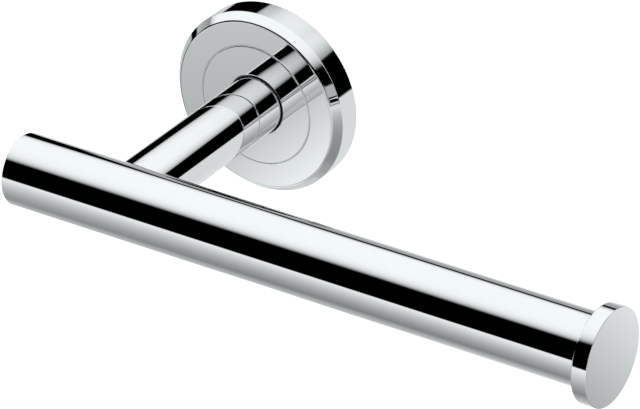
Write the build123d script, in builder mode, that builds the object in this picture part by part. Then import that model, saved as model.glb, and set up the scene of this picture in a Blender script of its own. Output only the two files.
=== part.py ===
"""Wall-mounted toilet paper holder: a round flange, a post and an open arm with a stop disc.

Millimetres. The origin is the centre of the wall face: the wall is the plane y = 0, +Y points into
the wall, +X runs along the arm to its free end, and +Z is up. A depth is a distance from the wall.
"""

import os

from build123d import *

# Tubes of the post and the arm
POST_DIAMETER = 15.9
ARM_DIAMETER = 19.0
TUBE_WALL = 1.2
ARM_STANDOFF = 68.2  # wall to arm axis
ARM_OVERHANG = 31.2  # post axis to the flush end
ARM_REACH = 137.2  # post axis to the stop disc
ARM_EDGE_BREAK = 0.3

# Stop disc on the free end
CAP_DIAMETER = 25.4
CAP_THICKNESS = 4.2
CAP_EDGE_BREAK = 0.25
CAP_PILOT_LENGTH = 1.5
CAP_STUD_DIAMETER = 8.0
CAP_STUD_LENGTH = 11.0
INSERT_LENGTH = 12.0

# Flush plug in the short end, a pressed cup
PLUG_LENGTH = 7.0
PLUG_WALL = 1.2
PLUG_EDGE_BREAK = 0.3

# Wall flange
FLANGE_DIAMETER = 50.8
FLANGE_THICKNESS = 8.9
BEVEL_WIDTH = 1.8
BEVEL_DEPTH = 2.2
FACE_EDGE_BREAK = 0.3
RIM_EDGE_BREAK = 0.2
GROOVE_DIAMETER = 33.2
GROOVE_WIDTH = 0.6
GROOVE_DEPTH = 0.2

# Moat round the foot of the post, with its seal
MOAT_WIDTH = 0.5
MOAT_DEPTH = 1.8
MOAT_EDGE_BREAK = 0.2
SEAL_HEIGHT = 1.65
SPIGOT_FLOOR = 3.0  # metal under the bolt's washer

# Bracket on the wall
BRACKET_DIAMETER = 41.0
BRACKET_FLATS = 35.0
BRACKET_THICKNESS = 5.2
BRACKET_LEAD_IN = 0.6
SCREW_SPACING = 28.0
SCREW_HOLE_DIAMETER = 4.8
SCREW_HEAD_DIAMETER = 9.0

# Set screw under the flange
SET_SCREW_DIAMETER = 4.0
SET_SCREW_LENGTH = 5.0
SET_SCREW_DEPTH = 3.0  # wall to its axis
SET_SCREW_POINT = 0.5
SET_SCREW_SOCKET = 2.0  # across flats
SET_SCREW_SOCKET_DEPTH = 2.2

# Bolt that draws flange, post and arm together
BOLT_DIAMETER = 6.0
BOLT_HEAD_DIAMETER = 10.0
BOLT_HEAD_HEIGHT = 4.0
BOLT_SOCKET = 5.0  # across flats
BOLT_SOCKET_DEPTH = 2.2
BOLT_POINT = 0.6
BOLT_PAST_AXIS = 4.0  # how far its end passes the arm axis
WASHER_DIAMETER = 9.8
WASHER_THICKNESS = 1.6
WASHER_SLIT = 0.8
SADDLE_LENGTH = 14.0
NUT_LENGTH = 24.0
TAPPED_RUN_OUT = 1.5

# Clearances, each on one side
SLIP_CLEARANCE = 0.05  # turned pieces inside tubes, and the seal in its moat
SEAT_CLEARANCE = 0.02  # coped ends on the arm
THREAD_CLEARANCE = 0.05
BOLT_CLEARANCE = 0.25
HEAD_CLEARANCE = 0.3
BRACKET_CLEARANCE = 0.25
SET_SCREW_GAP = 0.05  # screw point to the bracket's flat

# Places that follow from the sizes above
post_radius = POST_DIAMETER / 2
post_bore = post_radius - TUBE_WALL
arm_radius = ARM_DIAMETER / 2
arm_bore = arm_radius - TUBE_WALL
flange_radius = FLANGE_DIAMETER / 2
face_radius = flange_radius - BEVEL_WIDTH
rim_depth = FLANGE_THICKNESS - BEVEL_DEPTH
cavity_depth = BRACKET_THICKNESS + BRACKET_CLEARANCE
cavity_flat = BRACKET_FLATS / 2 + BRACKET_CLEARANCE
moat_radius = post_radius + MOAT_WIDTH
moat_floor = FLANGE_THICKNESS - MOAT_DEPTH
spigot_radius = post_bore - SLIP_CLEARANCE
head_depth = cavity_depth + HEAD_CLEARANCE
washer_depth = head_depth + BOLT_HEAD_HEIGHT
washer_seat = washer_depth + WASHER_THICKNESS
spigot_end = washer_seat + SPIGOT_FLOOR
bolt_end = ARM_STANDOFF + BOLT_PAST_AXIS
bolt_hole = BOLT_DIAMETER / 2 + BOLT_CLEARANCE
arm_back = ARM_STANDOFF - arm_radius
set_screw_top = BRACKET_FLATS / 2 + SET_SCREW_GAP


def wall_plane(depth):
    """Plane parallel to the wall whose sketches extrude away from it."""
    return Plane.XZ.offset(depth)


def facing_wall(depth):
    """Plane whose holes are bored away from the wall, starting at this depth."""
    return Plane(origin=(0, -depth, 0), z_dir=(0, 1, 0))


def along_arm(x):
    """Plane across the arm at this x whose sketches extrude towards the free end."""
    return Plane(origin=(x, -ARM_STANDOFF, 0), x_dir=(0, 1, 0), z_dir=(1, 0, 0))


def rings(part, radius):
    """The circular edges of this radius, nearest to the wall last."""
    circles = part.edges().filter_by(GeomType.CIRCLE)
    return circles.filter_by(lambda edge: abs(edge.radius - radius) < 1e-6).sort_by(Axis.Y)


def cope():
    """Cut the part being built to the arm's round back."""
    with Locations(along_arm(0)):
        Cylinder(arm_radius + SEAT_CLEARANCE, 2 * POST_DIAMETER, mode=Mode.SUBTRACT)


os.makedirs("parts", exist_ok=True)

with BuildPart() as wall_bracket:
    with BuildSketch(wall_plane(0)):
        Circle(BRACKET_DIAMETER / 2)
        Rectangle(BRACKET_DIAMETER, BRACKET_FLATS, mode=Mode.INTERSECT)
    extrude(amount=BRACKET_THICKNESS)
    chamfer(wall_bracket.faces().sort_by(Axis.Y)[0].edges(), BRACKET_LEAD_IN)
    with Locations(Plane(origin=(0, -BRACKET_THICKNESS, 0), x_dir=(1, 0, 0), z_dir=(0, -1, 0))):
        with GridLocations(SCREW_SPACING, 0, 2, 1):
            CounterSinkHole(SCREW_HOLE_DIAMETER / 2, SCREW_HEAD_DIAMETER / 2)

with BuildPart() as set_screw:
    with BuildSketch(Plane(origin=(0, -SET_SCREW_DEPTH, -set_screw_top), z_dir=(0, 0, -1))):
        Circle(SET_SCREW_DIAMETER / 2)
    extrude(amount=SET_SCREW_LENGTH)
    chamfer(set_screw.edges().sort_by(Axis.Z)[-1], SET_SCREW_POINT)
    socket_mouth = set_screw.faces().sort_by(Axis.Z)[0]
    with BuildSketch(socket_mouth):
        RegularPolygon(SET_SCREW_SOCKET / 2, 6, major_radius=False)
    extrude(amount=-SET_SCREW_SOCKET_DEPTH, mode=Mode.SUBTRACT)

# The groove is a turned V, and the spigot in the middle of the moat locates the post's tube.
with BuildPart() as wall_flange:
    with BuildSketch(Plane.XY):
        with BuildLine():
            Polyline(
                (0, 0),
                (flange_radius, 0),
                (flange_radius, -rim_depth),
                (face_radius, -FLANGE_THICKNESS),
                (GROOVE_DIAMETER / 2 + GROOVE_WIDTH / 2, -FLANGE_THICKNESS),
                (GROOVE_DIAMETER / 2, GROOVE_DEPTH - FLANGE_THICKNESS),
                (GROOVE_DIAMETER / 2 - GROOVE_WIDTH / 2, -FLANGE_THICKNESS),
                (moat_radius, -FLANGE_THICKNESS),
                (moat_radius, -moat_floor),
                (spigot_radius, -moat_floor),
                (spigot_radius, -spigot_end),
                (0, -spigot_end),
                close=True,
            )
        make_face()
    revolve(axis=Axis.Y)
    chamfer(rings(wall_flange, face_radius), FACE_EDGE_BREAK)
    chamfer(rings(wall_flange, flange_radius), RIM_EDGE_BREAK)
    chamfer(rings(wall_flange, moat_radius)[0], MOAT_EDGE_BREAK)
    with BuildSketch(wall_plane(0)):
        Circle(BRACKET_DIAMETER / 2 + BRACKET_CLEARANCE)
        Rectangle(FLANGE_DIAMETER, 2 * cavity_flat, mode=Mode.INTERSECT)
    extrude(amount=cavity_depth, mode=Mode.SUBTRACT)
    with Locations(facing_wall(cavity_depth)):
        CounterBoreHole(
            radius=bolt_hole,
            counter_bore_radius=BOLT_HEAD_DIAMETER / 2 + HEAD_CLEARANCE,
            counter_bore_depth=washer_seat - cavity_depth,
        )
    with Locations(Plane(origin=(0, -SET_SCREW_DEPTH, -flange_radius), z_dir=(0, 0, -1))):
        Hole(SET_SCREW_DIAMETER / 2 + THREAD_CLEARANCE, depth=flange_radius - set_screw_top)

with BuildPart() as post_seal:
    with BuildSketch(wall_plane(moat_floor)):
        Circle(moat_radius - SLIP_CLEARANCE)
        Circle(post_radius + SLIP_CLEARANCE, mode=Mode.SUBTRACT)
    extrude(amount=SEAL_HEIGHT)

with BuildPart() as post_tube:
    with BuildSketch(wall_plane(moat_floor)):
        Circle(post_radius)
        Circle(post_bore, mode=Mode.SUBTRACT)
    extrude(amount=ARM_STANDOFF - moat_floor)
    cope()

with BuildPart() as post_saddle:
    with BuildSketch(wall_plane(arm_back - SADDLE_LENGTH)):
        Circle(post_bore - SLIP_CLEARANCE)
        Circle(bolt_hole, mode=Mode.SUBTRACT)
    extrude(amount=SADDLE_LENGTH + arm_radius)
    cope()

with BuildPart() as tie_bolt:
    with BuildSketch(wall_plane(head_depth)):
        Circle(BOLT_HEAD_DIAMETER / 2)
    extrude(amount=BOLT_HEAD_HEIGHT)
    with BuildSketch(wall_plane(washer_depth)):
        Circle(BOLT_DIAMETER / 2)
    extrude(amount=bolt_end - washer_depth)
    chamfer(tie_bolt.edges().sort_by(Axis.Y)[0], BOLT_POINT)
    with BuildSketch(wall_plane(head_depth)):
        RegularPolygon(BOLT_SOCKET / 2, 6, major_radius=False)
    extrude(amount=BOLT_SOCKET_DEPTH, mode=Mode.SUBTRACT)

with BuildPart() as lock_washer:
    with BuildSketch(wall_plane(washer_depth)):
        Circle(WASHER_DIAMETER / 2)
        Circle(bolt_hole, mode=Mode.SUBTRACT)
        Rectangle(WASHER_SLIT, WASHER_DIAMETER, align=(Align.CENTER, Align.MIN), mode=Mode.SUBTRACT)
    extrude(amount=WASHER_THICKNESS)

with BuildPart() as arm_tube:
    with BuildSketch(along_arm(-ARM_OVERHANG)):
        Circle(arm_radius)
        Circle(arm_bore, mode=Mode.SUBTRACT)
    extrude(amount=ARM_OVERHANG + ARM_REACH)
    chamfer(rings(arm_tube, arm_radius).sort_by(Axis.X)[0], ARM_EDGE_BREAK)
    with Locations(facing_wall(arm_back)):
        Hole(bolt_hole, depth=arm_radius)

with BuildPart() as arm_nut:
    with BuildSketch(along_arm(-NUT_LENGTH / 2)):
        Circle(arm_bore - SLIP_CLEARANCE)
    extrude(amount=NUT_LENGTH)
    with Locations(facing_wall(arm_back)):
        Hole(BOLT_DIAMETER / 2 + THREAD_CLEARANCE, depth=bolt_end + TAPPED_RUN_OUT - arm_back)

with BuildPart() as arm_end_plug:
    with BuildSketch(along_arm(-ARM_OVERHANG)):
        Circle(arm_bore - SLIP_CLEARANCE)
    extrude(amount=PLUG_LENGTH)
    offset(amount=-PLUG_WALL, openings=arm_end_plug.faces().sort_by(Axis.X)[-1])
    chamfer(arm_end_plug.edges().sort_by(Axis.X)[0], PLUG_EDGE_BREAK)

with BuildPart() as arm_end_insert:
    with BuildSketch(along_arm(ARM_REACH - CAP_PILOT_LENGTH - INSERT_LENGTH)):
        Circle(arm_bore - SLIP_CLEARANCE)
        Circle(CAP_STUD_DIAMETER / 2 + THREAD_CLEARANCE, mode=Mode.SUBTRACT)
    extrude(amount=INSERT_LENGTH)

with BuildPart() as arm_end_cap:
    with BuildSketch(along_arm(ARM_REACH)):
        Circle(CAP_DIAMETER / 2)
    extrude(amount=CAP_THICKNESS)
    chamfer(rings(arm_end_cap, CAP_DIAMETER / 2), CAP_EDGE_BREAK)
    with BuildSketch(along_arm(ARM_REACH - CAP_PILOT_LENGTH)):
        Circle(arm_bore - SLIP_CLEARANCE)
    extrude(amount=CAP_PILOT_LENGTH)
    with BuildSketch(along_arm(ARM_REACH - CAP_PILOT_LENGTH - CAP_STUD_LENGTH)):
        Circle(CAP_STUD_DIAMETER / 2)
    extrude(amount=CAP_STUD_LENGTH)

pieces = {
    "wall_bracket": wall_bracket,
    "set_screw": set_screw,
    "wall_flange": wall_flange,
    "post_seal": post_seal,
    "post_tube": post_tube,
    "post_saddle": post_saddle,
    "tie_bolt": tie_bolt,
    "lock_washer": lock_washer,
    "arm_tube": arm_tube,
    "arm_nut": arm_nut,
    "arm_end_plug": arm_end_plug,
    "arm_end_insert": arm_end_insert,
    "arm_end_cap": arm_end_cap,
}
for name, piece in pieces.items():
    piece.part.label = name
    export_step(piece.part, f"parts/{name}.step")
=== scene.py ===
# %% [markdown]
# # A chrome toilet paper holder
#
# The holder is a round flange that hides its wall bracket, a short post that stands off it, and an
# open arm with a stop disc that keeps the roll on. Everything that shows is turned metal or tube,
# so nearly every piece is a profile carried round an axis. Polished chrome has no colour of its own:
# it only shows what stands round it, so the studio matters as much as the metal. The solids are
# loaded first, and each new piece takes its place and main sizes from the box of its solid.

import math

import bpy
import numpy as np
from mathutils import Matrix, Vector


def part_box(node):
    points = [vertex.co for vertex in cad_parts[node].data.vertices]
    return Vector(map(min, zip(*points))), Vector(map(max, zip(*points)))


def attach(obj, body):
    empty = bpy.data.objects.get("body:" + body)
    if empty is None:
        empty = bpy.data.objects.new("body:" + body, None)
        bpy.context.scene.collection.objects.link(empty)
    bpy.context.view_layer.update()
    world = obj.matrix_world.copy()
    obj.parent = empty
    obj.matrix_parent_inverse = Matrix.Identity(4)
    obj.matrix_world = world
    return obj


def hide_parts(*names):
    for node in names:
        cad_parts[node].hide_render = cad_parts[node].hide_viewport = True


MM = 0.001

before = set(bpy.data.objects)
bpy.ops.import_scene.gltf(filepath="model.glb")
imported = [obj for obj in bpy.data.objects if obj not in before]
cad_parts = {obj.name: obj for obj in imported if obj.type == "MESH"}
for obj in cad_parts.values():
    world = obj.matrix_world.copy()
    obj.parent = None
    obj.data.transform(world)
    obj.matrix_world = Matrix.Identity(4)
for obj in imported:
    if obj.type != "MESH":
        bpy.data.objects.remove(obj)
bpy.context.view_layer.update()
scene = bpy.context.scene
scene.view_settings.view_transform = "Standard"
print("nodes in the frame:", sorted(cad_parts))


# %% New objects
def placed(name, data):
    """A new object with this data, in the scene."""
    thing = bpy.data.objects.new(name, data)
    scene.collection.objects.link(thing)
    return thing


# %% [markdown]
# ## Camera
#
# A product photographer stands well back with a long lens, so that the flange and the disc keep
# their true proportions. A position and three angles could set it. Here it has the point it aims
# at, the direction it looks from and a slight roll, because each can be put right by itself.

# %% Camera
VIEW_AZIMUTH = 33.40
VIEW_ELEVATION = 29.71
VIEW_ROLL = -0.63
VIEW_DISTANCE = 1.2971
VIEW_AIM = (0.05291, -0.05941, 0.01081)
LENS = 297.0
SENSOR_WIDTH = 36.0
NEAREST_SEEN = 0.05

# Back points from the aim to the camera, and the roll turns right towards up.
turn, rise, lean = np.radians([VIEW_AZIMUTH, VIEW_ELEVATION, VIEW_ROLL])
back = np.array([np.sin(turn) * np.cos(rise), -np.cos(turn) * np.cos(rise), np.sin(rise)])
level = np.array([np.cos(turn), np.sin(turn), 0.0])
right = np.cos(lean) * level + np.sin(lean) * np.cross(back, level)
up = np.cross(back, right)
eye = np.array(VIEW_AIM) + VIEW_DISTANCE * back

camera_data = bpy.data.cameras.new("camera")
camera_data.lens = LENS
camera_data.sensor_width = SENSOR_WIDTH
camera_data.clip_start = NEAREST_SEEN
camera = placed("camera", camera_data)
camera.matrix_world = Matrix(np.vstack([np.stack([right, up, back, eye], 1), (0, 0, 0, 1)]).tolist())
scene.camera = camera
print("camera at", np.round(eye, 3))

# %% [markdown]
# ## Shader arithmetic
#
# A formula is easier to read than a picture of nodes. A Tone wraps one socket, so that a + b or
# 1 - mask adds the Math node for it, and a Finish is a material, or the world, with one method that
# makes any other node.


# %% Shader arithmetic
class Tone:
    """A socket of a finish that can stand in a formula."""

    def __init__(self, finish, socket):
        self.finish = finish
        self.socket = socket

    def maths(self, operation, first, second):
        return self.finish.node("ShaderNodeMath", {"operation": operation}, {0: first, 1: second})

    def __add__(self, other):
        return self.maths("ADD", self, other)

    def __sub__(self, other):
        return self.maths("SUBTRACT", self, other)

    def __rsub__(self, other):
        return self.maths("SUBTRACT", other, self)

    def __mul__(self, other):
        return self.maths("MULTIPLY", self, other)

    __radd__ = __add__
    __rmul__ = __mul__


print("a Tone can be added, subtracted and multiplied")


# %% Finishes
class Finish:
    """A material, or the world, whose nodes are made by one method."""

    def __init__(self, name, library=bpy.data.materials, shader="Principled BSDF"):
        self.material = library.new(name)
        self.material.use_nodes = True
        self.tree = self.material.node_tree
        self.shader = self.tree.nodes[shader]

    def node(self, kind, settings, sockets, output=0):
        """A node of this kind, with its settings set first and its sockets fed with values or Tones."""
        made = self.tree.nodes.new(kind)
        for setting, value in settings.items():
            setattr(made, setting, value)
        self.feed(made, sockets)
        return Tone(self, made.outputs[output])

    def feed(self, made, sockets):
        """Sockets of a node linked to Tones or set to values."""
        for key, value in sockets.items():
            if isinstance(value, Tone):
                self.tree.links.new(value.socket, made.inputs[key])
            else:
                made.inputs[key].default_value = value

    def wear(self, sockets):
        """The finished material, once its own shader is fed."""
        self.feed(self.shader, sockets)
        return self.material

    def show(self, surface):
        """The finished material, with another surface in place of its own shader."""
        self.feed(self.tree.nodes["Material Output"], {"Surface": surface})
        return self.material


print("one method makes every node:", Finish.node.__name__)

# %% [markdown]
# Most finishes need the same few nodes: the place on the piece, a noise, a mix of two colours and a
# bump. Each gets a short name here.

# %% Nodes that most finishes need
MIX_COLOUR_A, MIX_COLOUR_B, MIX_COLOUR_OUT = 6, 7, 2


def place_on(finish):
    """Object coordinates, which stay with the piece."""
    return finish.node("ShaderNodeTexCoord", {}, {}, "Object")


def noise(finish, place, scale, detail=3.0, roughness=0.55):
    """Clouds from 0 to 1, finer with a larger scale."""
    sockets = {"Vector": place, "Scale": scale, "Detail": detail, "Roughness": roughness}
    return finish.node("ShaderNodeTexNoise", {}, sockets, "Fac")


def mix(finish, mask, first, second):
    """The first colour where the mask is 0 and the second where it is 1."""
    sockets = {0: mask, MIX_COLOUR_A: (*first, 1.0), MIX_COLOUR_B: (*second, 1.0)}
    return finish.node("ShaderNodeMix", {"data_type": "RGBA"}, sockets, MIX_COLOUR_OUT)


def bump(finish, height, strength, distance):
    """A normal that leans as a surface of this height would."""
    sockets = {"Height": height, "Strength": strength, "Distance": distance}
    return finish.node("ShaderNodeBump", {}, sockets, "Normal")


print("nodes with short names ready")

# %% [markdown]
# ## Polished chrome
#
# Bright chrome gives back about seven eighths of the light and hardly tints it. A perfect mirror would
# do from afar. What tells chrome from it is the haze left by wiping, so the roughness drifts a
# little over the surface, and the plating is not quite level, which a very faint bump gives.

# %% Polished chrome
HAZE_SCALE = 38.0
WIPING_SCALE = 210.0
HAZY_CHROME = (0.852, 0.856, 0.860)
CLEAR_CHROME = (0.888, 0.892, 0.896)

chrome = Finish("polished_chrome")
place = place_on(chrome)
haze = noise(chrome, place, HAZE_SCALE, 4.0)
wiping = noise(chrome, place, WIPING_SCALE, 2.0)
polished_chrome = chrome.wear(
    {
        "Base Color": mix(chrome, haze, HAZY_CHROME, CLEAR_CHROME),
        "Metallic": 1.0,
        "Roughness": 0.004 + 0.007 * haze + 0.004 * wiping,
        "Normal": bump(chrome, wiping, 0.01, 0.01 * MM),
    }
)
print("finish", polished_chrome.name)

# %% [markdown]
# ## Plated but unpolished, with painted shade
#
# The back of the flange, its hollow, the bottom of the groove and the lip of the moat go through the
# same plating bath, but no polishing wheel reaches them. They keep the fine rings of the lathe. Cut
# into the mesh these would need too many faces, so they are a bump: a sine of the lathe radius.
# Their colour is darker than the polished chrome's, and that is painted shade: it lays a dark line
# along the groove and at the moat lip.

# %% Plated but unpolished, with painted shade
TURNING_PITCH = 0.22 * MM
CLOUD_SCALE = 90.0
# Both plating colours are darker than the polished chrome's: painted shade for the groove and moat lip.
DARK_SHADED_PLATING = (0.70, 0.72, 0.73)
LIGHT_SHADED_PLATING = (0.81, 0.83, 0.84)
ACROSS_AXIS = (1, 0, 1)

shaded_satin = Finish("shaded_turned_chrome")
place = place_on(shaded_satin)
cloud = noise(shaded_satin, place, CLOUD_SCALE, 4.0)
flat = shaded_satin.node("ShaderNodeVectorMath", {"operation": "MULTIPLY"}, {0: place, 1: ACROSS_AXIS})
lathe_radius = shaded_satin.node("ShaderNodeVectorMath", {"operation": "LENGTH"}, {0: flat}, "Value")
turns = lathe_radius * (2 * math.pi / TURNING_PITCH)
rings = shaded_satin.node("ShaderNodeMath", {"operation": "SINE"}, {0: turns})
shaded_turned_chrome = shaded_satin.wear(
    {
        "Base Color": mix(shaded_satin, cloud, DARK_SHADED_PLATING, LIGHT_SHADED_PLATING),
        "Metallic": 1.0,
        "Roughness": 0.24 + 0.14 * cloud,
        "Normal": bump(shaded_satin, rings, 0.25, 0.02 * MM),
    }
)
print("finish", shaded_turned_chrome.name)

# %% [markdown]
# ## Metals inside and the black ring of painted shade
#
# The bracket is a zinc casting with a grained skin. The pieces inside the tubes are turned brass,
# the bolt and its washer are plated steel, the set screw is blackened, and the ring at the foot of
# the post is matt black, which is painted shade: the shadow in the joint between post and flange.
# One small recipe serves them all: two colours mixed by a cloud, and a grain.

# %% Metals inside and the black ring of painted shade
GRAIN_HEIGHT = 0.05 * MM


def grained(name, dark, light, roughness, spread, clouds, fineness, relief, metallic=1.0):
    """A finish of two colours mixed by a cloud, with a roughness that follows it and a fine grain."""
    finish = Finish(name)
    place = place_on(finish)
    cloud = noise(finish, place, clouds, 5.0, 0.6)
    fine = noise(finish, place, fineness, 3.0, 0.6)
    contrast = {"Value": cloud, "From Min": 0.3, "From Max": 0.7}
    mask = finish.node("ShaderNodeMapRange", {"interpolation_type": "SMOOTHSTEP"}, contrast)
    return finish.wear(
        {
            "Base Color": mix(finish, mask, dark, light),
            "Metallic": metallic,
            "Roughness": roughness + spread * cloud + 0.08 * fine,
            "Normal": bump(finish, fine, relief, GRAIN_HEIGHT),
        }
    )


cast_zinc = grained(
    "cast_zinc", (0.36, 0.37, 0.38), (0.50, 0.51, 0.52),
    roughness=0.34, spread=0.18, clouds=130, fineness=1900, relief=0.55,
)
plain_brass = grained(
    "plain_brass", (0.62, 0.43, 0.17), (0.78, 0.58, 0.26),
    roughness=0.18, spread=0.18, clouds=160, fineness=2600, relief=0.15,
)
plated_steel = grained(
    "plated_steel", (0.47, 0.48, 0.50), (0.66, 0.65, 0.58),
    roughness=0.20, spread=0.20, clouds=210, fineness=2600, relief=0.2,
)
black_steel = grained(
    "black_steel", (0.030, 0.031, 0.034), (0.062, 0.062, 0.066),
    roughness=0.30, spread=0.20, clouds=300, fineness=3200, relief=0.3,
)
# Matt black for the ring in the moat: painted shade, the shadow in the joint between post and flange.
black_rubber = grained(
    "black_rubber", (0.004, 0.004, 0.005), (0.009, 0.009, 0.010),
    roughness=0.62, spread=0.20, clouds=200, fineness=2400, relief=0.5, metallic=0.0,
)
print("finishes", [m.name for m in (cast_zinc, plain_brass, plated_steel, black_steel, black_rubber)])

# %% [markdown]
# ## Profiles with broken edges
#
# No turned edge is perfectly sharp: a file or the polishing wheel takes it off. A Bevel modifier
# would round all edges alike. Here each corner of a profile has its own round and becomes a small arc,
# with one point held just outside each end, so that flat faces look flat right up to the round.

# %% Profiles with broken edges
ARC_STEPS = 7
HOLD = 0.04 * MM


def softened(corners, rounds, closed):
    """Corners replaced by arcs of radius q: the arc touches both sides at q / tan(half angle) from
    the corner, and its points are a slerp between the two touching radii. An open profile starts and
    ends on the axis, so its first and last corners only give directions. Returns points and the
    number of the corner that each point came from."""
    before = corners - np.roll(corners, 1, 0)
    after = np.roll(corners, -1, 0) - corners
    towards_last = -before / np.linalg.norm(before, axis=1)[:, None]
    towards_next = after / np.linalg.norm(after, axis=1)[:, None]
    half = np.arccos(np.clip((towards_last * towards_next).sum(1), -1, 1)) / 2
    touch = (rounds / np.tan(half))[:, None]
    bisector = towards_last + towards_next
    bisector /= np.linalg.norm(bisector, axis=1)[:, None]
    centre = corners + bisector * (rounds / np.sin(half))[:, None]
    first = corners + towards_last * touch
    last = corners + towards_next * touch
    sweep = (math.pi - 2 * half)[:, None, None]
    share = np.linspace(0, 1, ARC_STEPS)[None, :, None]
    arm_in = (first - centre)[:, None]
    arm_out = (last - centre)[:, None]
    arc = (np.sin((1 - share) * sweep) * arm_in + np.sin(share * sweep) * arm_out) / np.sin(sweep)
    arc = arc + centre[:, None]
    lead_in = (first + towards_last * HOLD)[:, None]
    lead_out = (last + towards_next * HOLD)[:, None]
    points = np.concatenate([lead_in, arc, lead_out], 1)
    source = np.repeat(np.arange(len(corners)), ARC_STEPS + 2).reshape(len(corners), -1)
    if not closed:
        points, source = points[1:-1], source[1:-1]
    return points.reshape(-1, 2), source.reshape(-1)


def profile_of(corners, closed):
    """Points of a profile, and the name of the corner that each point came from. A named corner is
    its radius, its run along the axis and, in millimetres, the round that breaks it."""
    table = np.array(list(corners.values()), float)
    points, source = softened(table[:, :2], table[:, 2] * MM, closed)
    return points, np.array(list(corners))[source]


print("each corner becomes", ARC_STEPS + 2, "points")

# %% [markdown]
# ## Turned surfaces
#
# A turned surface is a grid: one way along the profile, the other round the axis. The Screw modifier
# makes it too, but only with round rings. Here radius and run are whole arrays of rings by angles, so
# a ring may be a hexagon or have two flats. A seat says where the axis starts and where it points.

# %% Turned surfaces
STEPS_ROUND = 288
OUT_OF_WALL = {
    "origin": np.zeros(3),
    "axis": np.array([0.0, -1.0, 0.0]),
    "across": np.array([1.0, 0.0, 0.0]),
    "upright": np.array([0.0, 0.0, 1.0]),
}


def ring_angles(steps):
    """Evenly spaced angles of a ring, where the last step leads back to the first angle."""
    return np.linspace(0, 2 * math.pi, steps, endpoint=False)


def rounds_of(points, angles):
    """Radii and runs of (radius, run) points, repeated for every angle."""
    points = np.array(points, float)
    shape = (len(points), len(angles))
    return np.broadcast_to(points[:, :1], shape).copy(), np.broadcast_to(points[:, 1:], shape).copy()


def turned_points(radii, runs, angles, seat):
    """Point of a ring at angle t: origin + run * axis + radius * (cos t * across + sin t * upright)."""
    spokes = np.cos(angles)[:, None] * seat["across"] + np.sin(angles)[:, None] * seat["upright"]
    along = seat["origin"] + runs[..., None] * seat["axis"]
    return along + radii[..., None] * spokes


def grid_quads(rows, columns, closed, wrapped=True):
    """Quads between neighbours. A wrapped grid joins its last column to its first, a closed one its
    last row to its first."""
    row = np.arange(rows if closed else rows - 1)[:, None]
    column = np.arange(columns if wrapped else columns - 1)[None, :]
    beside = (column + 1) % columns
    here, ahead = row * columns, (row + 1) % rows * columns
    corners = (here + column, here + beside, ahead + beside, ahead + column)
    return np.stack(np.broadcast_arrays(*corners), -1).reshape(-1, 4)


ROUND = ring_angles(STEPS_ROUND)
print("a ring has", STEPS_ROUND, "points")

# %% [markdown]
# ## From arrays to pieces
#
# A piece on the axis is closed by a fan to one pole at each end, and a tube closes on itself. Normals
# could be recalculated, but the sign of the volume tells from the arrays alone which way faces look.

# %% From arrays to pieces
SHARP_ANGLE = math.radians(29)


def volume_of(points, quads):
    """Signed volume: the sum of p0 . (p1 x p2) / 6 over the triangles, above 0 if faces look outwards."""
    triangles = np.concatenate([quads[:, [0, 1, 2]], quads[:, [0, 2, 3]]])
    a, b, c = points[triangles[:, 0]], points[triangles[:, 1]], points[triangles[:, 2]]
    return (a * np.cross(b, c)).sum() / 6


def new_piece(name, points, quads, finishes, slots=None):
    """A smooth mesh object, turned outwards, whose quads with a repeated corner become triangles."""
    if volume_of(points, quads) < 0:
        quads = quads[:, ::-1]
    mesh = bpy.data.meshes.new(name)
    fans = quads[:, 0] == quads[:, 1]
    tails = quads[:, 2] == quads[:, 3]
    whole = ~(fans | tails)
    faces = quads[whole].tolist() + quads[fans][:, 1:].tolist() + quads[tails][:, :3].tolist()
    mesh.from_pydata(points.tolist(), [], faces)
    for finish in finishes:
        mesh.materials.append(finish)
    if slots is not None:
        mesh.polygons.foreach_set("material_index", slots.astype(np.int32))
    mesh.shade_smooth()
    mesh.set_sharp_from_angle(angle=SHARP_ANGLE)
    return placed(name, mesh)


print("edges look sharp from", round(math.degrees(SHARP_ANGLE)), "degrees")


# %% Turned pieces
def turned_piece(name, radii, runs, angles, seat, closed, finishes, slots=None):
    """A turned surface as a piece: an open one gets a pole on the axis at its first and last run."""
    points = turned_points(radii, runs, angles, seat).reshape(-1, 3)
    rows, columns = radii.shape
    quads = grid_quads(rows, columns, closed)
    if not closed:
        poles = seat["origin"] + np.array([runs[0].mean(), runs[-1].mean()])[:, None] * seat["axis"]
        first = np.full(columns, len(points))
        points = np.concatenate([points, poles])
        step = np.arange(columns)
        beside = (step + 1) % columns
        tail = (rows - 1) * columns
        start = np.stack([first, first, beside, step], -1)
        finish = np.stack([tail + step, tail + beside, first + 1, first + 1], -1)
        quads = np.concatenate([quads, start, finish])
    return new_piece(name, points, quads, finishes, slots)


def turned_round(name, corners, seat, closed, finish):
    """A piece whose rings are all round, from the named corners of its profile."""
    radii, runs = rounds_of(profile_of(corners, closed)[0], ROUND)
    return turned_piece(name, radii, runs, ROUND, seat, closed, [finish])


def settle(piece, body, node):
    """The piece rides on a body and stands for a node of the frame, which it hides."""
    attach(piece, body)
    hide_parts(node)
    print(piece.name, "stands for", node, "with", len(piece.data.polygons), "faces")


# %% [markdown]
# ## Bored holes
#
# A cross hole runs at right angles to the turning axis, so it can't be part of the profile. It is
# cut by a drill: a turned piece subtracted with a Boolean whose result is taken into the mesh.

# %% Bored holes
DRILL_STEPS = 72
DRILL_OVERRUN = 2 * MM


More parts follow.
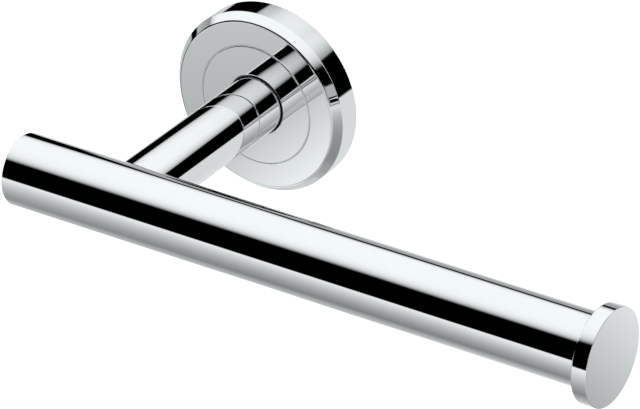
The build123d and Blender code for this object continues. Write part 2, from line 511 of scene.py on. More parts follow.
def bored(piece, drill):
    """The piece with the drill's shape taken out of it, as a plain mesh."""
    boolean = piece.modifiers.new("bore", "BOOLEAN")
    boolean.object = drill
    boolean.operation = "DIFFERENCE"
    boolean.solver = "EXACT"
    bpy.context.view_layer.update()
    graph = bpy.context.evaluated_depsgraph_get()
    mesh = bpy.data.meshes.new_from_object(piece.evaluated_get(graph))
    mesh.name = piece.name
    piece.modifiers.clear()
    piece.data = mesh
    mesh.set_sharp_from_angle(angle=SHARP_ANGLE)
    bpy.data.objects.remove(drill)
    return piece


def drill_bit(rims, seat):
    """A round drill through rims of (radius, run), from one end of the cut to the other."""
    angles = ring_angles(DRILL_STEPS)
    radii, runs = rounds_of(rims, angles)
    return turned_piece("drill", radii, runs, angles, seat, False, [])


print("a drill has", DRILL_STEPS, "sides")

# %% [markdown]
# ## Circles with two flats
#
# The bracket is a disc with a flat above and below, and the flange's hollow fits over it, so the
# holder can't turn on the wall. A Boolean could saw the flats off. It is simpler to let each ring
# stop at circle or flat, whichever is nearer, with points where they meet to keep the corners crisp.

# %% Circles with two flats
LEAST_SINE = 1e-6


def two_flat_angles(radius, flat):
    """Angles round a ring, with those where circle and flats meet: asin(flat / radius) and its mirrors."""
    corner = math.asin(flat / radius)
    corners = np.array([corner, math.pi - corner, math.pi + corner, -corner])
    return np.unique(np.concatenate([ROUND, corners % (2 * math.pi)]))


def two_flats(radii, angles, radius, flat):
    """Radii cut by the flats: min(r, (r - radius + flat) / |sin t|), so a smaller ring keeps its inset."""
    flats = (flat - radius + radii) / np.maximum(np.abs(np.sin(angles)), LEAST_SINE)
    return np.minimum(radii, flats)


print("with its flats a ring has", len(two_flat_angles(1.0, 0.8)), "points")

# %% [markdown]
# ## Flange
#
# The flange is one turning: a rim against the wall, a bevel, a flat face with a fine V groove, a
# moat round the foot of the post and a spigot inside the post. It could be joined from cylinders, but
# the wheel has softened every edge between them. So it is one closed profile with a round at each
# corner, where only the rings of the hollow are out of round.

# %% Flange sizes
FACE_DEPTH = 8.9 * MM
BEVEL_WIDTH = 1.8 * MM
BEVEL_DEPTH = 2.2 * MM
GROOVE_RADIUS = 16.6 * MM
GROOVE_HALF = 0.3 * MM
GROOVE_DEPTH = 0.10 * MM
HOLLOW_GAP = 0.25 * MM
HEAD_ROOM = 0.3 * MM
BOLT_HOLE = 3.25 * MM
SPIGOT_RADIUS = 6.7 * MM
FIT_ROOM = 0.05 * MM
LIP_ROOM = 0.10 * MM
LIP = 0.15 * MM

flange_low, flange_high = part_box("wall_flange")
post_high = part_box("post_tube")[1]
shade_ring_low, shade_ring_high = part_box("post_seal")
bracket_low, bracket_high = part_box("wall_bracket")
bolt_low, bolt_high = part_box("tie_bolt")
washer_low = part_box("lock_washer")[0]
screw_low, screw_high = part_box("set_screw")

flange_radius = flange_high.x
spigot_end = -flange_low.y
moat_floor = -post_high.y
moat_radius = shade_ring_high.x + FIT_ROOM
hollow_radius = bracket_high.x + HOLLOW_GAP
hollow_flat = bracket_high.z + HOLLOW_GAP
hollow_depth = -bracket_low.y + HOLLOW_GAP
head_radius = bolt_high.x + HEAD_ROOM
washer_seat = -washer_low.y
print("flange radius in mm", round(flange_radius / MM, 2))

# %% Flange profile
flange_corners = {
    "spigot bore": (BOLT_HOLE, spigot_end, 0.15),
    "spigot end": (SPIGOT_RADIUS, spigot_end, 0.30),
    "spigot foot": (SPIGOT_RADIUS, moat_floor, 0.10),
    "moat floor": (moat_radius, moat_floor, 0.10),
    "moat wall": (moat_radius, -shade_ring_low.y - LIP_ROOM, 0.02),
    "moat lip": (moat_radius - LIP, FACE_DEPTH - LIP, 0.02),
    "lip edge": (moat_radius + LIP, FACE_DEPTH, 0.05),
    "groove inside": (GROOVE_RADIUS - GROOVE_HALF, FACE_DEPTH, 0.15),
    "groove": (GROOVE_RADIUS, FACE_DEPTH - GROOVE_DEPTH, 0.25),
    "groove outside": (GROOVE_RADIUS + GROOVE_HALF, FACE_DEPTH, 0.15),
    "face edge": (flange_radius - BEVEL_WIDTH, FACE_DEPTH, 0.95),
    "bevel edge": (flange_radius, FACE_DEPTH - BEVEL_DEPTH, 0.30),
    "rim": (flange_radius, 0.0, 0.25),
    "hollow mouth": (hollow_radius, 0.0, 0.20),
    "hollow floor": (hollow_radius, hollow_depth, 0.15),
    "head mouth": (head_radius, hollow_depth, 0.15),
    "head floor": (head_radius, washer_seat, 0.10),
    "bolt hole": (BOLT_HOLE, washer_seat, 0.10),
}
flange_profile, corner_of = profile_of(flange_corners, True)
print("flange profile of", len(flange_profile), "points")

# %% Flange rings
flange_angles = two_flat_angles(hollow_radius, hollow_flat)
radii, runs = rounds_of(flange_profile, flange_angles)
hollow = np.isin(corner_of, ("hollow mouth", "hollow floor"))[:, None]
radii = np.where(hollow, two_flats(radii, flange_angles, hollow_radius, hollow_flat), radii)

corner_names = list(flange_corners)
in_front_of_rim = np.isin(corner_of, corner_names[: corner_names.index("rim")])
in_groove = (corner_of == "groove") | (np.roll(corner_of, -1) == "groove")
# The rest, groove bottom, moat lip and all behind the rim, get turned chrome with painted shade.
polished = in_front_of_rim & ~in_groove & (corner_of != "moat lip")
slots = np.repeat(np.where(polished, 0, 1), len(flange_angles))
finishes = [polished_chrome, shaded_turned_chrome]
flange = turned_piece("turned_flange", radii, runs, flange_angles, OUT_OF_WALL, True, finishes, slots)
print("polished share of the profile", round(polished.mean(), 2))

# %% [markdown]
# A small hole in the underside of the rim takes the set screw that grips the bracket. The screw and
# its hole share a seat whose axis points straight down.

# %% Hole for the set screw
screw_seat = {
    "origin": np.array([0.0, screw_low.y + screw_high.x, 0.0]),
    "axis": np.array([0.0, 0.0, -1.0]),
    "across": np.array([1.0, 0.0, 0.0]),
    "upright": np.array([0.0, 1.0, 0.0]),
}
hole_radius = screw_high.x + FIT_ROOM
hole_start = hollow_flat - DRILL_OVERRUN
hole_end = flange_radius + DRILL_OVERRUN
flange = bored(flange, drill_bit([(hole_radius, hole_start), (hole_radius, hole_end)], screw_seat))
settle(flange, "holder", "wall_flange")

# %% [markdown]
# ## Post
#
# The post is a tube whose far end is coped: cut to the round back of the arm, so that no gap shows.
# A Boolean would cut it too, but with a sharp edge. Along the post, the cut at height z is the arm's
# standoff less the root of its radius squared less z squared, and only that end's rings follow it.

# %% Post
TUBE_WALL = 1.2 * MM
COPE_ROOM = 0.02 * MM

arm_low, arm_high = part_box("arm_tube")
arm_radius = arm_high.z
arm_standoff = -(arm_low.y + arm_high.y) / 2
post_radius = post_high.x
post_bore = post_radius - TUBE_WALL
cope_radius = arm_radius + COPE_ROOM
arm_back = arm_standoff - cope_radius

post_corners = {
    "foot": (post_radius, moat_floor, 0.10),
    "cope": (post_radius, arm_back, 0.06),
    "bore cope": (post_bore, arm_back, 0.06),
    "bore foot": (post_bore, moat_floor, 0.10),
}
post_profile, corner_of = profile_of(post_corners, True)
radii, runs = rounds_of(post_profile, ROUND)
coped = np.isin(corner_of, ("cope", "bore cope"))[:, None]
cope = arm_standoff - np.sqrt(cope_radius**2 - (radii * np.sin(ROUND)) ** 2) - arm_back
runs = runs + np.where(coped, cope, 0.0)
post = turned_piece("coped_post", radii, runs, ROUND, OUT_OF_WALL, True, [polished_chrome])
settle(post, "holder", "post_tube")

# %% [markdown]
# ## Black ring of painted shade
#
# A thin ring in the moat shows as a fine dark line. Its matt black is painted shade: the shadow in
# the joint between post and flange. A torus would be too round, because the ring is square in
# section, so it is turned from four corners.

# %% Black ring of painted shade
# The ring's black is painted shade, where the joint between post and flange is in shadow.
SHADE_RING_BORE = 8.0 * MM

shade_ring_corners = {
    "outer foot": (shade_ring_high.x, -shade_ring_high.y, 0.1),
    "outer edge": (shade_ring_high.x, -shade_ring_low.y, 0.2),
    "inner edge": (SHADE_RING_BORE, -shade_ring_low.y, 0.2),
    "inner foot": (SHADE_RING_BORE, -shade_ring_high.y, 0.1),
}
shade_ring = turned_round("foot_shade_ring", shade_ring_corners, OUT_OF_WALL, True, black_rubber)
settle(shade_ring, "holder", "post_seal")

# %% [markdown]
# ## Arm
#
# The arm is a straight tube with a hole in its back for the bolt. A cylinder with Solidify would look
# the same from afar. Turned from its corners, its two ends get the soft edge that catches the light.
# Its seat runs along X at the arm's standoff and serves the disc and the plug as well.

# %% Arm
ALONG_ARM = {
    "origin": np.array([0.0, -arm_standoff, 0.0]),
    "axis": np.array([1.0, 0.0, 0.0]),
    "across": np.array([0.0, 1.0, 0.0]),
    "upright": np.array([0.0, 0.0, 1.0]),
}
arm_bore = arm_radius - TUBE_WALL

arm_corners = {
    "short end": (arm_radius, arm_low.x, 0.35),
    "long end": (arm_radius, arm_high.x, 0.12),
    "long bore": (arm_bore, arm_high.x, 0.10),
    "short bore": (arm_bore, arm_low.x, 0.10),
}
arm = turned_round("round_arm", arm_corners, ALONG_ARM, True, polished_chrome)
bolt_start = arm_back - DRILL_OVERRUN
arm = bored(arm, drill_bit([(BOLT_HOLE, bolt_start), (BOLT_HOLE, arm_standoff)], OUT_OF_WALL))
settle(arm, "holder", "arm_tube")

# %% [markdown]
# ## Stop disc
#
# The disc keeps the roll from sliding off. It is one turning with the pilot that centres it in the
# tube and the stud that screws into the brass insert, so its profile goes from the middle of the
# flat face round to the tip of the stud. Its face has a crisper edge than its back.

# %% Stop disc
PILOT_LENGTH = 1.5 * MM
STUD_RADIUS = 4.0 * MM

disc_low, disc_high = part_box("arm_end_cap")
plug_low, plug_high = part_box("arm_end_plug")
pilot_radius = plug_high.z
pilot_end = arm_high.x - PILOT_LENGTH
disc_corners = {
    "face centre": (0, disc_high.x, 0),
    "face edge": (disc_high.z, disc_high.x, 0.08),
    "back edge": (disc_high.z, arm_high.x, 0.40),
    "pilot root": (pilot_radius, arm_high.x, 0.10),
    "pilot edge": (pilot_radius, pilot_end, 0.20),
    "stud root": (STUD_RADIUS, pilot_end, 0.15),
    "stud edge": (STUD_RADIUS, disc_low.x, 0.50),
    "stud centre": (0, disc_low.x, 0),
}
disc = turned_round("stop_disc", disc_corners, ALONG_ARM, False, polished_chrome)
settle(disc, "holder", "arm_end_cap")

# %% [markdown]
# ## Flush plug
#
# The short end of the arm is closed by a pressed cup that sits flush with it. A flat cap would do for
# the eye, but the fine ring round it is the soft edge of a real cup against the edge of the tube.

# %% Flush plug
PLUG_WALL = 1.2 * MM

cup_radius = pilot_radius - PLUG_WALL
cup_floor = plug_low.x + PLUG_WALL
plug_corners = {
    "face centre": (0, plug_low.x, 0),
    "face edge": (pilot_radius, plug_low.x, 0.3),
    "mouth": (pilot_radius, plug_high.x, 0.2),
    "inner mouth": (cup_radius, plug_high.x, 0.2),
    "floor edge": (cup_radius, cup_floor, 0.4),
    "floor centre": (0, cup_floor, 0),
}
plug = turned_round("flush_plug", plug_corners, ALONG_ARM, False, polished_chrome)
settle(plug, "holder", "arm_end_plug")

# %% [markdown]
# ## Bracket
#
# The bracket is a zinc plate on the wall, a circle with two flats and a slanted lead-in edge, and
# two countersunk screws hold it. An extruded outline would need a bevel that follows the flats. A
# turned plate whose rings are flattened has it already, and a stepped drill cuts the screw holes.

# %% Bracket
SCREW_SPACING = 28.0 * MM
SCREW_HOLE = 2.4 * MM
SCREW_HEAD = 4.5 * MM
SINK_OVERRUN = 1.0 * MM
LEAD_IN = 0.6 * MM

plate_radius, plate_flat, plate_depth = bracket_high.x, bracket_high.z, -bracket_low.y
plate_corners = {
    "front centre": (0, plate_depth, 0),
    "lead-in top": (plate_radius - LEAD_IN, plate_depth, 0.25),
    "lead-in foot": (plate_radius, plate_depth - LEAD_IN, 0.25),
    "back edge": (plate_radius, 0, 0.15),
    "back centre": (0, 0, 0),
}
plate_angles = two_flat_angles(plate_radius, plate_flat)
radii, runs = rounds_of(profile_of(plate_corners, False)[0], plate_angles)
radii = two_flats(radii, plate_angles, plate_radius, plate_flat)
bracket = turned_piece("cast_bracket", radii, runs, plate_angles, OUT_OF_WALL, False, [cast_zinc])

sink_drill = [
    (SCREW_HOLE, -SINK_OVERRUN),
    (SCREW_HOLE, plate_depth - (SCREW_HEAD - SCREW_HOLE)),
    (SCREW_HEAD + SINK_OVERRUN, plate_depth + SINK_OVERRUN),
]
for side in (-1, 1):
    seat = dict(OUT_OF_WALL, origin=np.array([side * SCREW_SPACING / 2, 0.0, 0.0]))
    bracket = bored(bracket, drill_bit(sink_drill, seat))
settle(bracket, "bracket", "wall_bracket")

# %% [markdown]
# ## Threads and sockets
#
# The set screw and the tie bolt are driven by a hexagon key, so each has a socket of hexagonal rings.
# The Screw modifier makes threads, but without clean ends. Here a thread is a ring radius that falls
# and rises by a triangle wave of the run less the turn, which climbs one pitch for each turn and
# fades out at both ends.

# %% Threads and sockets
RINGS_PER_PITCH = 10
SOCKET_EDGE = 0.12 * MM
SOCKET_FLOOR = 0.7


def threaded(crest, depth, pitch, run_start, run_end, angles):
    """Rings of a thread: crest - depth * triangle(run / pitch - turn), faded out at both ends."""
    count = int(round((run_end - run_start) / pitch * RINGS_PER_PITCH)) + 1
    runs = np.linspace(run_start, run_end, count)[:, None]
    wave = np.abs(2 * ((runs / pitch - angles / (2 * math.pi)) % 1.0) - 1)
    fade = np.clip(np.minimum(runs - run_start, run_end - runs) / pitch, 0, 1)
    return crest - depth * wave * fade, np.broadcast_to(runs, (count, len(angles))).copy()


def socket_rings(half_width, mouth_run, depth, angles, inwards):
    """Rings of a hexagon socket from its slanted mouth to its floor. The radius of the hexagon is
    half width / cos(angle from the middle of the nearest flat)."""
    hexagonal = half_width / np.cos((angles + math.pi / 6) % (math.pi / 3) - math.pi / 6)
    runs = mouth_run + inwards * np.array([0.0, SOCKET_EDGE, depth, depth])
    radii = np.stack([hexagonal + SOCKET_EDGE, hexagonal, hexagonal, SOCKET_FLOOR * hexagonal])
    return radii, np.broadcast_to(runs[:, None], radii.shape).copy()


def stacked(*parts):
    """Rings of several stretches, one after the other."""
    return np.concatenate([p[0] for p in parts]), np.concatenate([p[1] for p in parts])


print("a thread has", RINGS_PER_PITCH, "rings for each turn")

# %% [markdown]
# ## Set screw
#
# A short blackened screw with no head. Backed out with a key, it lets the holder slide off its
# bracket. It starts with the flat point that grips the bracket and ends in the floor of its socket.

# %% Set screw
SET_PITCH = 0.7 * MM
SET_THREAD = 0.38 * MM
SET_POINT = 0.5 * MM
SET_POINT_RING = 0.1 * MM
SET_EDGE = 0.25 * MM
SET_SOCKET = 1.0 * MM
SET_SOCKET_DEPTH = 2.2 * MM
KEY_ANGLES = ring_angles(144)

set_radius = screw_high.x
set_start, set_end = -screw_high.z, -screw_low.z
point_radius = set_radius - SET_POINT
tip_rims = [(point_radius - SET_POINT_RING, set_start), (point_radius, set_start)]
thread_start, thread_end = set_start + SET_POINT, set_end - SET_EDGE
radii, runs = stacked(
    rounds_of(tip_rims, KEY_ANGLES),
    threaded(set_radius, SET_THREAD, SET_PITCH, thread_start, thread_end, KEY_ANGLES),
    rounds_of([(set_radius - SET_EDGE, set_end)], KEY_ANGLES),
    socket_rings(SET_SOCKET, set_end, SET_SOCKET_DEPTH, KEY_ANGLES, -1),
)
set_screw = turned_piece("socket_set_screw", radii, runs, KEY_ANGLES, screw_seat, False, [black_steel])
settle(set_screw, "grip_screw", "set_screw")

# %% [markdown]
# ## Tie bolt
#
# The long bolt draws flange, post and arm together from inside the hollow. It is a stock socket
# screw, and the knurl of its head is a cosine taken off the radius, once for each tooth.

# %% Tie bolt
BOLT_PITCH = 1.0 * MM
BOLT_THREAD = 0.55 * MM
BOLT_POINT = 0.6 * MM
BOLT_POINT_RING = 0.2 * MM
BOLT_SOCKET = 2.5 * MM
BOLT_SOCKET_DEPTH = 2.2 * MM
BOLT_RADIUS = 3.0 * MM
HEAD_HEIGHT = 4.0 * MM
BROW_WIDTH = 0.5 * MM
BROW_HEIGHT = 0.4 * MM
HEAD_EDGE = 0.2 * MM
NECK = 0.1 * MM
THREAD_RUN = 22.0 * MM
KNURLS = 48
KNURL_DEPTH = 0.14 * MM
BOLT_ANGLES = ring_angles(KNURLS * 6)

head_start, bolt_end = -bolt_high.y, -bolt_low.y
head_end = head_start + HEAD_HEIGHT
point_radius = BOLT_RADIUS - BOLT_POINT
key_radii, key_runs = socket_rings(BOLT_SOCKET, head_start, BOLT_SOCKET_DEPTH, BOLT_ANGLES, 1)
grip_rims = [(bolt_high.x, head_start + BROW_HEIGHT), (bolt_high.x, head_end - HEAD_EDGE)]
grip_radii, grip_runs = rounds_of(grip_rims, BOLT_ANGLES)
knurl = KNURL_DEPTH * (1 - np.cos(KNURLS * BOLT_ANGLES)) / 2
neck_rims = [
    (bolt_high.x - HEAD_EDGE, head_end),
    (BOLT_RADIUS + NECK, head_end),
    (BOLT_RADIUS, head_end + NECK),
]
thread_start, thread_end = bolt_end - THREAD_RUN, bolt_end - BOLT_POINT
radii, runs = stacked(
    (key_radii[::-1], key_runs[::-1]),
    rounds_of([(bolt_high.x - BROW_WIDTH, head_start)], BOLT_ANGLES),
    (grip_radii - knurl, grip_runs),
    rounds_of(neck_rims, BOLT_ANGLES),
    threaded(BOLT_RADIUS, BOLT_THREAD, BOLT_PITCH, thread_start, thread_end, BOLT_ANGLES),
    rounds_of([(point_radius, bolt_end), (point_radius - BOLT_POINT_RING, bolt_end)], BOLT_ANGLES),
)
tie_bolt = turned_piece("socket_tie_bolt", radii, runs, BOLT_ANGLES, OUT_OF_WALL, False, [plated_steel])
settle(tie_bolt, "holder", "tie_bolt")

# %% [markdown]
# ## Pieces kept from the frame
#
# The saddle, the nut, the insert and the lock washer are out of sight inside the tubes. They could be
# made anew, but their shapes are already right, so they keep their meshes and only get their finishes.

# %% Pieces kept from the frame
kept = {
    "post_saddle": plain_brass,
    "arm_nut": plain_brass,
    "arm_end_insert": plain_brass,
    "lock_washer": plated_steel,
}
for node, finish in kept.items():
    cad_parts[node].material_slots[0].material = finish
    print(node, "finished in", finish.name)

# %% [markdown]
# ## Studio
#
# Chrome is photographed in a small tent: a white ceiling, a white table, grey paper behind and black
# gaps between them that give the metal its dark edges. Lamps and cards could be set up one by one. A
# dome that only reflections see is easier to adjust, as one formula of the compass, 0 towards the
# wall, and of the height above the horizon, in degrees. It is hardly larger than the piece, so a flat
# face also shows a gradient. A stretch of either is written as its start, its end and its blur.


# %% Studio helpers
def ease(value, start, end):
    """0 before start, 1 after end, and 3 t^2 - 2 t^3 between them."""
    share = np.clip((value - start) / (end - start), 0, 1)
    return share * share * (3 - 2 * share)


def window(value, start, end, blur):
    """1 between start and end, with edges that are blurred by this much to both sides."""
    return ease(value, start - blur, start + blur) * (1 - ease(value, end - blur, end + blur))


def panel(azimuth, height, across, upright):
    """1 on a panel of the tent and 0 off it: a window of the compass times a window of the height."""
    return window(azimuth, *across) * window(height, *upright)


def towards(level, goal, share):
    """The level moved towards a goal by a share of the difference."""
    return level + (goal - level) * share


print("half way", ease(0.5, 0, 1), "inside", window(5, 0, 10, 2))

# %% [markdown]
# The ceiling's edge is lowest to both sides of the wall, higher over the paper and at the sides, and
# highest in front, where the cloth sags a little at both corners. A soft light on the left hangs much
# lower. Two strips of the ceiling end sharply. Above its edge it soon reaches full white.

# %% Ceiling edge
CEILING_EDGE = 31.9
SIDE_RISE = 4.1
FRONT_RISE = 7.6
PAPER_RISE = 6.6
SOFT_LIGHT = (-116, -63, 4)
SOFT_LIGHT_EDGE = 21.8
RIGHT_STRIP = (32, 62, 6)
LEFT_HEM = (-47, -26, 4)
FRONT_SEAM = (118, 172, 6)
RIGHT_SAG = (122, 149, 7)
LEFT_SAG = (-148, -118, 8)


def frontness(azimuth):
    """1 straight in front and 0 from the sides on: (-cos a)^5, held at 0."""
    return np.maximum(-np.cos(np.radians(azimuth)), 0) ** 5


def ceiling_edge(azimuth):
    """Height of the edge: a base less 0.7 sin 2a, with its rises at the sides, in front and over the
    paper, and small lifts and sags at the strips, the seam and the corners."""
    edge = CEILING_EDGE - 0.7 * np.sin(2 * np.radians(azimuth))
    edge += SIDE_RISE * ease(np.abs(azimuth), 55, 100) + FRONT_RISE * frontness(azimuth)
    edge += PAPER_RISE * ease(azimuth, -41, -13) * (1 - ease(azimuth, 21, 34))
    edge += 0.7 * window(azimuth, *RIGHT_STRIP) + 1.6 * window(azimuth, *LEFT_HEM)
    edge -= 1.1 * window(azimuth, *RIGHT_SAG) + 1.4 * window(azimuth, *LEFT_SAG)
    edge -= 0.45 * window(azimuth, *FRONT_SEAM)
    return towards(edge, SOFT_LIGHT_EDGE, window(azimuth, *SOFT_LIGHT))


print("edge towards the wall and in front", ceiling_edge(np.array([0.0, 180.0])))

# %% Ceiling
WHITE = 1.20
EDGE_BLUR = 0.4
SHARP_STEP = 2.0
LEFT_STRIP = (-48, -20, 4)
SOFT_LIGHT_FADE = 3.0


def ceiling_fade(azimuth):
    """Degrees in which the ceiling comes near full white: 4.3, and more at the sides and strips."""
    fade = 4.3 + 2.0 * ease(np.abs(azimuth), 60, 105) + 0.4 * frontness(azimuth)
    fade += 0.7 * window(azimuth, *LEFT_STRIP) + 2.2 * window(azimuth, *RIGHT_STRIP)
    return towards(fade, SOFT_LIGHT_FADE, window(azimuth, *SOFT_LIGHT))


def ceiling(azimuth, height):
    """White * (1 - exp(-h / fade)), where h is the height above the edge, rounded off at 0. On the
    sharp strips h starts with a step."""
    edge = ceiling_edge(azimuth)
    above = EDGE_BLUR * np.logaddexp(0, (height - edge) / EDGE_BLUR)
    sharp = window(azimuth, *LEFT_STRIP) + window(azimuth, *RIGHT_STRIP)
    above += SHARP_STEP * sharp * ease(height, edge - EDGE_BLUR, edge + EDGE_BLUR)
    return WHITE * (1 - np.exp(-above / ceiling_fade(azimuth)))


print("ceiling overhead", ceiling(np.zeros(1), np.full(1, 90.0)))

# %% [markdown]
# The table is brightest near its far edge in front, dims towards the foot of the tent and is bright
# again towards the wall. On the right it falls off fast, because that side of the tent is open, but
# for a graded card before the disc. On the left a gap lets in little light. The table's edge lies
# near the horizon, a little higher at the boards that stand on it and lower in front.

# %% Table level
BRIGHT_FOOT = {"across": (-12, 50, 12), "upright": (-66, -44, 8)}
DIM_FOOT = {"across": (44, 78, 8), "upright": (-73, -58, 5)}
DISC_CARD = {"across": (70, 86, 4), "upright": (-17, 0, 3)}
LEFT_GAP = {"across": (-120, -84, 5), "upright": (-40, 0, 5)}
LEFT_GAP_LEVEL = 0.2
LEFT_SHADE = (-85, -24, 10)
OPEN_SIDE = (45, 121, 6)


def table_level(azimuth, height):
    """In front 0.13 + 0.9 exp((height + 3) / 35), at the foot 0.9 - 0.33 (1 - b)^1.75, where b is the
    part of the direction that points at the wall. On the open side 0.32 + 0.44 exp(h / 12), with h
    the height and a parabola of the compass, holds where it is darker. The panels lie over that."""
    behind = np.cos(np.radians(azimuth - 10)) * np.cos(np.radians(height))
    foot = 0.895 - 0.326 * (1 - behind) ** 1.75
    foot *= 1 - 0.10 * window(azimuth, *LEFT_SHADE)
    foot += 0.14 * panel(azimuth, height, **BRIGHT_FOOT)
    front = 0.13 + 0.90 * np.exp(np.minimum(height + 3, 0) / 35)
    level = np.where(np.abs(azimuth) > 90, np.maximum(front, foot), foot)
    open_level = 0.315 + 0.44 * np.exp((height + 2 + 8.3 * ((110 - azimuth) / 40) ** 2) / 12)
    open_share = window(azimuth, *OPEN_SIDE) * ease(height, -75, -50)
    level = towards(level, np.minimum(open_level, level), open_share)
    disc_level = 0.757 - 0.045 * (azimuth - 78) + 0.036 * (height + 8)
    level = towards(level, disc_level, panel(azimuth, height, **DISC_CARD))
    level = towards(level, LEFT_GAP_LEVEL, panel(azimuth, height, **LEFT_GAP))
    return level * (1 - 0.22 * panel(azimuth, height, **DIM_FOOT))


print("table in front", table_level(np.full(1, 180.0), np.full(1, -20.0)))

# %% Table
LEFT_CORNER = (-58, -45, 4)
LEFT_BOARD = (-39, -18, 2)
RIGHT_BOARD = (32, 118, 8)
RIGHT_NOTCH = (47.6, 57, 0.6)
FRONT_BOARD = (119, 143, 5)


def table_edge(azimuth):
    """Height of the table's edge: 1, higher at its boards, lower at the left corner, at the notch
    and, by up to 1.4, from the front on."""
    edge = 1.0 + 6.0 * window(azimuth, *LEFT_BOARD) + 3.2 * window(azimuth, *RIGHT_BOARD)
    edge += 7.0 * window(azimuth, *FRONT_BOARD) - 7.0 * window(azimuth, *LEFT_CORNER)
    edge -= 1.7 * window(azimuth, *RIGHT_NOTCH)
    past_front = azimuth % 360 - 180
    return edge - 1.4 * ease(past_front, -26, -3) * (1 - 0.45 * ease(past_front, 3, 30))


def table_top(azimuth, height):
    """The table's level below its edge and nothing above it. The edge is blurred at the left corner."""
    edge = table_edge(azimuth)
    blur = 0.8 + 6.0 * window(azimuth, *LEFT_CORNER)
    return table_level(azimuth, height) * (1 - ease(height, edge - blur, edge + blur))


print("table's edge towards the wall and in front", table_edge(np.array([0.0, 180.0])))

# %% [markdown]
# Grey paper hangs behind the piece, brighter towards its foot and with a slightly slanted left edge.
# One grey card stands at each side, and a narrow light between paper and card on the right brightens
# towards the ceiling. Without them the gap between table and ceiling would be black all round.

# %% Paper and cards
TENT_LIGHT = 0.894
LEFT_CARD = {"across": (-100, -62, 3), "upright": (7.5, 30, 0.8)}
RIGHT_CARD = {"across": (98, 121, 2), "upright": (10, 20.5, 1)}
RIGHT_CARD_LEVEL = 0.54
NARROW_LIGHT = (64, 84, 3)
PAPER_SPAN = (0, 30, 2.5)


def paper_share(azimuth, height):
    """1 on the paper: right of an edge that leans by 0.38 for each degree of height down to -34.4."""
    left = np.maximum(-30.9 - 0.38 * (26 - height), -34.4)
    across = ease(azimuth, left - 1, left + 1) * (1 - ease(azimuth, 24, 32))
    return across * window(height, *PAPER_SPAN)


def studio(azimuth, height):
    """Ceiling and table, then the paper, 0.44 + 0.28 exp((1 - height) / 8), the left card, the narrow
    light on the right and the right card laid over them, all times the light of the tent."""
    level = ceiling(azimuth, height) + table_top(azimuth, height)
    paper_level = 0.443 + 0.282 * np.exp((1 - height) / 8)
    level = towards(level, paper_level, paper_share(azimuth, height))
    left_level = np.maximum(level, 0.712 - 0.0146 * height)
    level = towards(level, left_level, panel(azimuth, height, **LEFT_CARD))
    narrow_level = np.maximum(level, 0.45 + 0.7 * ease(height, 14, 33))
    level = towards(level, narrow_level, window(azimuth, *NARROW_LIGHT) * ease(height, -2, 4))
    return TENT_LIGHT * towards(level, RIGHT_CARD_LEVEL, panel(azimuth, height, **RIGHT_CARD))


print("paper behind", studio(np.zeros(1), np.full(1, 10.0)))

# %% [markdown]
# The brightness is worked out at every vertex of the dome and kept as an attribute that the dome
# glows with. Only reflections see it: the camera, shadows and soft light pass it by. Its faint cool
# colour is what tints the chrome.

# %% Studio dome
DOME_CENTRE = np.array([-20.0, -28.0, -27.0]) * MM
DOME_RADIUS = 220 * MM
DOME_COLUMNS = 720
DOME_ROWS = 361
DOME_TOP = 89.98
DAYLIGHT = (0.965, 1.0, 1.008, 1.0)


def glowing(name, points, quads, levels):
    """A mesh that only reflections see, with a brightness at every vertex."""
    mesh = bpy.data.meshes.new(name)
    mesh.from_pydata(points.reshape(-1, 3).tolist(), [], quads.tolist())
    glow = mesh.attributes.new("glow", "FLOAT", "POINT")
    glow.data.foreach_set("value", levels.astype(np.float32).ravel())
    shown = placed(name, mesh)
    shown.visible_camera = False
    shown.visible_diffuse = False
    shown.visible_shadow = False
    print(name, "of", len(mesh.polygons), "faces")
    return mesh


def glow_of(finish):
    """Emission as bright as the attribute says, which lights nothing but reflections."""
    finish.material.cycles.emission_sampling = "NONE"
    level = finish.node("ShaderNodeAttribute", {"attribute_name": "glow"}, {}, "Fac")
    return finish.node("ShaderNodeEmission", {}, {"Color": DAYLIGHT, "Strength": level})


compass = np.linspace(-180, 180, DOME_COLUMNS, endpoint=False)
heights = np.linspace(-DOME_TOP, DOME_TOP, DOME_ROWS)
azimuths, elevations = np.meshgrid(compass, heights)
turn, rise = np.radians(azimuths), np.radians(elevations)
directions = np.stack([np.sin(turn) * np.cos(rise), np.cos(turn) * np.cos(rise), np.sin(rise)], -1)
dome_points = DOME_CENTRE + DOME_RADIUS * directions
dome_quads = grid_quads(DOME_ROWS, DOME_COLUMNS, False)
dome = glowing("studio_dome", dome_points, dome_quads, studio(azimuths, elevations))
tent = Finish("studio_tent")
dome.materials.append(tent.show(glow_of(tent)))

# %% [markdown]
# ## Reflector under the post
#
# A photographer lifts a dark corner with a small reflector. This one stands across the camera's view
# as the flange's face mirrors it, so each of its points belongs to one point of the face. Its light
# grows from the middle of the face towards the lower right, and a second light is for the flange's
# lower edge, the groove and the post's reflection. The foil is see-through and only adds its light.

# %% Reflector under the post
REFLECTOR_REACH = 40 * MM
REFLECTOR_HALF = 64 * MM
REFLECTOR_STEPS = 121
REFLECTOR_GAIN = 22.1
LIGHT_LEAN = math.radians(40)
FACE_FADE = (24 * MM, 27.5 * MM)
EDGE_LIGHT = 0.7
SIDE_LIGHT = 0.16
EDGE_RING = (33 * MM, 62 * MM, 4 * MM)

beam = back * np.array([-1, 1, -1])
across = np.cross(beam, (0, 0, 1))
across /= np.linalg.norm(across)
steps = np.linspace(-REFLECTOR_HALF, REFLECTOR_HALF, REFLECTOR_STEPS)
along_card, up_card = np.meshgrid(steps, steps)
card_points = np.array([0, -FACE_DEPTH, 0]) + REFLECTOR_REACH * beam
card_points = card_points + along_card[..., None] * across + up_card[..., None] * np.cross(across, beam)

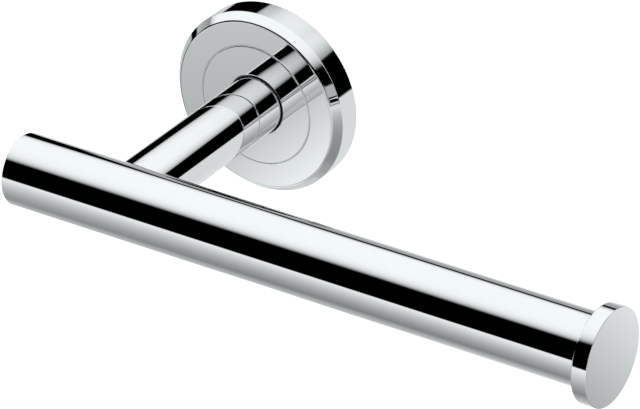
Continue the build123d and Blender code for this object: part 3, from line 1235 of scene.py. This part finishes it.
face_points = card_points - ((card_points[..., 1] + FACE_DEPTH) / beam[1])[..., None] * beam
face_x, face_z = face_points[..., 0], face_points[..., 2]
from_centre = np.hypot(face_x, face_z)
lower_right = math.sin(LIGHT_LEAN) * face_x - math.cos(LIGHT_LEAN) * face_z
fall = -face_z / from_centre
below = 0.4 * ease(fall, 0.45, 0.6) + 0.6 * ease(fall, 0.85, 0.95)
beside = ease(face_x / from_centre, 0.93, 0.975) * ease(fall, -0.35, -0.1)
card_light = REFLECTOR_GAIN * np.maximum(lower_right, 0) * (1 - ease(from_centre, *FACE_FADE))
card_light += (EDGE_LIGHT * below + SIDE_LIGHT * beside) * window(from_centre, *EDGE_RING)

card_quads = grid_quads(REFLECTOR_STEPS, REFLECTOR_STEPS, False, wrapped=False)
card = glowing("reflector", card_points, card_quads, card_light)
foil = Finish("reflector_foil")
see_through = foil.node("ShaderNodeBsdfTransparent", {}, {})
both = foil.node("ShaderNodeAddShader", {}, {0: see_through, 1: glow_of(foil)})
card.materials.append(foil.show(both))

# %% [markdown]
# ## Floor, light and background
#
# The pieces that are not chrome need ordinary light: a soft white surround and one large lamp
# overhead. The floor is pale, keeps the shadow and can't be seen from below, and the background is
# plain white to the camera. All three are hidden from reflections, which see the tent instead.

# %% Floor
FLOOR_HEIGHT = -0.25
FLOOR_HALF = 3.0
FLOOR_PAINT = (0.86, 0.86, 0.86, 1)
FLOOR_LIFT = 0.32
PURE_WHITE = (1, 1, 1, 1)

floor_mesh = bpy.data.meshes.new("floor")
corners = FLOOR_HALF * np.array([(-1, -1, 0), (1, -1, 0), (1, 1, 0), (-1, 1, 0)], float)
corners[:, 2] = FLOOR_HEIGHT
floor_mesh.from_pydata(corners.tolist(), [], [(0, 1, 2, 3)])
floor = placed("floor", floor_mesh)
floor.visible_glossy = False

ground = Finish("pale_floor")
seen = ground.node("ShaderNodeLightPath", {}, {}, "Is Camera Ray")
under = ground.node("ShaderNodeNewGeometry", {}, {}, "Backfacing")
paint = ground.node("ShaderNodeBsdfDiffuse", {}, {"Color": FLOOR_PAINT})
lift = ground.node("ShaderNodeEmission", {}, {"Color": PURE_WHITE, "Strength": seen * FLOOR_LIFT})
lit = ground.node("ShaderNodeAddShader", {}, {0: paint, 1: lift})
clear = ground.node("ShaderNodeBsdfTransparent", {}, {})
one_sided = ground.node("ShaderNodeMixShader", {}, {0: 1 - under, 1: clear, 2: lit})
floor_mesh.materials.append(ground.show(one_sided))
print("floor at", FLOOR_HEIGHT)

# %% Lamp and surround
LAMP_PLACE = (0.1, -0.3, 1.4)
LAMP_POWER = 14.0
LAMP_SIZE = 1.2
SURROUND_LIGHT = 0.75

lamp_data = bpy.data.lights.new("overhead", "AREA")
lamp_data.energy = LAMP_POWER
lamp_data.size = LAMP_SIZE
lamp = placed("overhead", lamp_data)
lamp.location = LAMP_PLACE
lamp.visible_glossy = False

surround = Finish("white_surround", bpy.data.worlds, "Background")
seen = surround.node("ShaderNodeLightPath", {}, {}, "Is Camera Ray")
strength = SURROUND_LIGHT + (1 - SURROUND_LIGHT) * seen
scene.world = surround.wear({"Color": PURE_WHITE, "Strength": strength})
scene.world.cycles_visibility.glossy = False
print("lamp at", LAMP_PLACE, "surround", SURROUND_LIGHT)
